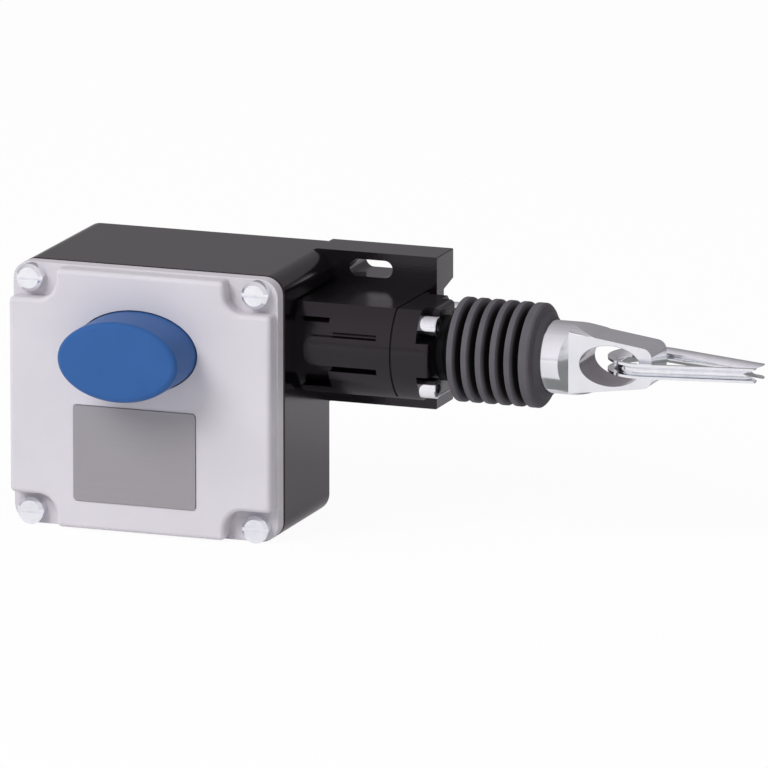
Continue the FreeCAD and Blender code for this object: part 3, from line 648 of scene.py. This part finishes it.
def eye_shank(start, shoulder, end):
    """Turned shank that slopes in beside the plate, with a milled flat on each side."""
    bar_along_x(EYE_SHANK_R, start, end - EYE_SLOPE_TO, AXIS_Y, AXIS_Z, TURNED_POINTS)
    shank = grab_new("eye_shank")
    place_in_mesh()
    bpy.ops.object.mode_set(mode="EDIT")
    slope_in(end - EYE_SLOPE_FROM, EYE_SHANK_R,
             fall=EYE_SHANK_R - EYE_SLOPE_END_H, run=EYE_SLOPE_FROM - EYE_SLOPE_TO)
    face_outward()
    bpy.ops.object.mode_set(mode="OBJECT")
    for side in (-1, 1):
        flat, outside = AXIS_Y + side * EYE_HALF_T, AXIS_Y + side * 2 * EYE_SHANK_R
        block_of(shoulder - EYE_SHANK_R, end, *sorted((flat, outside)), AXIS_Z - BEYOND, AXIS_Z + BEYOND)
        cutter = grab_new("milled_flat")
        place_in_mesh()
        bpy.ops.object.mode_set(mode="EDIT")
        slice_off((shoulder * MM, flat * MM, 0), (EYE_HALF_T - EYE_SHANK_R, -side * EYE_SHOULDER_SLOPE, 0))
        bpy.ops.object.mode_set(mode="OBJECT")
        clear_selection()
        combine(shank, cutter, "DIFFERENCE")
    return shank


def eye_hole(end):
    """Oval cutter across the plate: a bar of 1 mm radius, stretched by the hole's half sizes."""
    hole = bar_along_x(1.0, -BEYOND, BEYOND, 0, 0, HOLE_POINTS)
    hole.rotation_euler = (QUARTER_TURN, 0, 0)
    hole.scale = (EYE_HOLE_HALF_W, EYE_HOLE_HALF_H, 1)
    hole.location = ((end - EYE_HOLE_FROM_END) * MM, AXIS_Y * MM, AXIS_Z * MM)
    return hole


def pull_eye():
    """Shank and plate in one, with the oval hole, the socket for the rod and broken edges."""
    low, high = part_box("rope_eye")
    start, end = low.x / MM, high.x / MM
    shoulder, root = end - EYE_SHOULDER_FROM_END, end - EYE_ROOT_FROM_END
    clear_selection()
    piece = eye_plate(root, end)
    shank = eye_shank(start, shoulder, end)
    inner_end = block_of(root - PAST, shoulder, AXIS_Y - BEYOND, AXIS_Y + BEYOND,
                         AXIS_Z - BEYOND, AXIS_Z + BEYOND)
    combine(piece, inner_end, "DIFFERENCE")
    combine(piece, shank, "UNION")
    combine(piece, eye_hole(end), "DIFFERENCE")
    socket = bar_along_x(EYE_SOCKET_R, start - PAST, start + EYE_SOCKET_LEN, AXIS_Y, AXIS_Z)
    combine(piece, socket, "DIFFERENCE")
    edge = piece.modifiers.new("edge", "BEVEL")
    edge.width = EYE_EDGE * MM
    edge.segments = EYE_EDGE_STEPS
    edge.angle_limit = EYE_EDGE_CORNER
    apply_modifiers(piece)
    settle(piece, SMOOTH_METAL)
    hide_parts("rope_eye")
    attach(piece, "rod")
    return piece


def corner_pocket(start, end, side, rise, reach):
    """Cutters for one screw of the cap: its hole, its round seat and the two ways out to the corner."""
    y, z = AXIS_Y + side * CAP_SCREW_ACROSS, AXIS_Z + rise
    far_y, far_z = AXIS_Y + side * reach, AXIS_Z + math.copysign(reach, rise)
    inner = CAP_POCKET_R - CLEAR
    near_y, near_z = y - side * inner, z - math.copysign(inner, rise)
    seat, past = end - CAP_POCKET_DEPTH, end + PAST
    return [
        bar_along_x(CAP_SCREW_HOLE_R, start - PAST, past, y, z, SCREW_HOLE_POINTS),
        bar_along_x(CAP_POCKET_R, seat, past, y, z, POCKET_POINTS),
        block_of(seat, past, *sorted((y, far_y)), *sorted((near_z, far_z))),
        block_of(seat, past, *sorted((near_y, far_y)), *sorted((z, far_z))),
    ]


def neck_end_cap():
    """Round cap with a flat top, bottom and back, a rounded front edge and four open corner pockets."""
    low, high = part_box("neck_cap")
    start, end = low.x / MM, high.x / MM
    reach = CAP_R + PAST

    def at_front(first, last):
        """Whether an edge lies on the cap's front."""
        return min(first.x, last.x) > high.x - TOUCH

    clear_selection()
    bar_along_x(CAP_R, start, end, AXIS_Y, AXIS_Z, TURNED_POINTS)
    piece = grab_new("neck_end_cap")
    place_in_mesh()
    round_edges(piece, CAP_EDGE, at_front)
    block_of(start - PAST, end, AXIS_Y - reach - CAP_EDGE, AXIS_Y + CAP_BACK,
             AXIS_Z - CAP_FLAT_DOWN, AXIS_Z + CAP_FLAT_UP)
    flats = grab_new("cap_flats")
    place_in_mesh()
    round_edges(flats, CAP_EDGE, at_front)
    clear_selection()
    combine(piece, flats, "INTERSECT")
    cutters = [bar_along_x(CAP_BORE_R, start - PAST, end + PAST, AXIS_Y, AXIS_Z)]
    for side in (-1, 1):
        for rise in (-CAP_SCREW_DOWN, CAP_SCREW_UP):
            cutters += corner_pocket(start, end, side, rise, reach)
    for cutter in cutters:
        combine(piece, cutter, "DIFFERENCE")
    settle(piece, SMOOTH_METAL)
    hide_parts("neck_cap")
    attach(piece, "housing")
    return piece


def working_spring(node):
    """Copy of a spring, hung on the housing in the CAD spring's place."""
    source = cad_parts[node]
    mesh = source.data.copy()
    mesh.transform(source.matrix_world)
    piece = bpy.data.objects.new(node + "_coils", mesh)
    bpy.context.scene.collection.objects.link(piece)
    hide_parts(node)
    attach(piece, "housing")
    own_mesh(piece)


def light_path(tree):
    """1 where the camera looks, and 1 where a reflection or a clear material does."""
    seen = tree.add("ShaderNodeLightPath", output="Is Camera Ray")
    glossy = tree.add("ShaderNodeLightPath", output="Is Glossy Ray")
    through = tree.add("ShaderNodeLightPath", output="Is Transmission Ray")
    return seen, glossy.math("MAXIMUM", glossy, through)


def surroundings():
    """White wherever it shows, and a plain soft light on the object."""
    world = bpy.data.worlds.new("white_studio")
    bpy.context.scene.world = world
    tree = Tree(world)
    seen, mirrored = light_path(tree)
    toward = tree.add("ShaderNodeTexCoord", output="Generated")
    to_wall = tree.add("ShaderNodeSeparateXYZ", None, {0: toward}, output=1)
    level = MIRRORED_ABOVE - WORLD_LIGHT - to_wall * MIRRORED_FALL
    strength = WORLD_LIGHT + seen * (1 - WORLD_LIGHT) + mirrored * level
    colour = tree.mix(mirrored, WHITE, MIRRORED_TINT)
    backdrop = tree.add("ShaderNodeBackground", None, {"Color": colour, "Strength": strength})
    tree.add("ShaderNodeOutputWorld", None, {"Surface": backdrop})


def floor():
    """Pale floor that the box stands on: white where it shows, with the object's shadow."""
    clear_selection()
    bpy.ops.mesh.primitive_plane_add(size=FLOOR_SIZE, location=(0, 0, cad_low.z - FLOOR_GAP))
    piece = grab_new("studio_floor")
    settle(piece)
    tree = Tree(bpy.data.materials.new("pale_floor"))
    matt = tree.add("ShaderNodeBsdfDiffuse", None, {"Color": FLOOR_TONE})
    seen, mirrored = light_path(tree)
    colour = tree.mix(mirrored, WHITE, MIRRORED_TINT)
    glow = tree.add("ShaderNodeEmission", None, {"Color": colour, "Strength": 1.0})
    share = seen * FLOOR_SEEN + mirrored * FLOOR_MIRRORED
    lit = tree.add("ShaderNodeMixShader", None, {0: share, 1: matt, 2: glow})
    clear = tree.add("ShaderNodeBsdfTransparent")
    under = tree.add("ShaderNodeNewGeometry", output="Backfacing")
    one_sided = tree.add("ShaderNodeMixShader", None, {0: under, 1: lit, 2: clear})
    tree.add("ShaderNodeOutputMaterial", None, {"Surface": one_sided})
    piece.data.materials.append(tree.owner)


def lamp(name, place, size, power):
    """Soft square lamp turned to the object, in metres and watts."""
    data = bpy.data.lights.new(name, "AREA")
    data.size = size
    data.energy = power
    piece = bpy.data.objects.new(name, data)
    piece.location = place
    piece.rotation_euler = (AIM - Vector(place)).to_track_quat("-Z", "Y").to_euler()
    piece.visible_glossy = False
    bpy.context.scene.collection.objects.link(piece)


def card(name, place, width, height, level, lying=False):
    """Grey card that only mirrors show, turned to the object or lying flat, in metres."""
    clear_selection()
    bpy.ops.mesh.primitive_plane_add(size=1.0, location=place)
    piece = grab_new(name)
    piece.scale = (width, height, 1)
    if not lying:
        facing = Vector((AIM.x - place[0], AIM.y - place[1], 0))
        piece.rotation_euler = facing.to_track_quat("Z", "Y").to_euler()
    settle(piece)
    tree = Tree(bpy.data.materials.new(name))
    shader = tree.add("ShaderNodeEmission", None, {"Color": (level, level, level, 1), "Strength": 1.0})
    tree.add("ShaderNodeOutputMaterial", None, {"Surface": shader})
    piece.data.materials.append(tree.owner)
    piece.visible_camera = False
    piece.visible_shadow = False
    piece.visible_diffuse = False


def camera():
    """Long lens at the photograph's angle."""
    data = bpy.data.cameras.new("photo_view")
    data.type = "PERSP"
    data.sensor_width = SENSOR
    data.lens = SENSOR * DISTANCE / VIEW_WIDTH
    data.clip_end = SIGHT_END
    piece = bpy.data.objects.new("photo_view", data)
    back = Vector((math.sin(AZIMUTH) * math.cos(ELEVATION), -math.cos(AZIMUTH) * math.cos(ELEVATION),
                   math.sin(ELEVATION)))
    piece.location = AIM + back * DISTANCE
    piece.rotation_euler = (-back).to_track_quat("-Z", "Y").to_euler()
    bpy.context.scene.collection.objects.link(piece)
    bpy.context.scene.camera = piece


materials = {name: finish(name, build) for name, build in FINISHES.items()}
dress_nodes(materials)
rubber_bellows().data.materials.append(materials["bellows_rubber"])
neck_end_cap().data.materials.append(materials["base_paint"])
pull_eye().data.materials.append(materials["steel"])
working_spring("main_spring")
working_spring("button_spring")
working_spring("plunger_spring")
surroundings()
floor()
lamp("key_lamp", place=(-0.9, -1.6, 1.5), size=1.2, power=40)
lamp("fill_lamp", place=(1.5, -1.2, 0.5), size=1.0, power=2)
card("low_back_card", place=(0.17, 0.16, -0.01), width=0.16, height=0.06, level=0.27)
card("horizon_card", place=(-0.42, -1.17, 0.062), width=1.6, height=0.07, level=0.66)
under_box = cad_low.z + 1 * MM
card("under_card", place=(0.25, 0.0075, under_box), width=0.4, height=0.165, level=0.24, lying=True)
camera()
bpy.context.scene.view_settings.view_transform = "Standard"
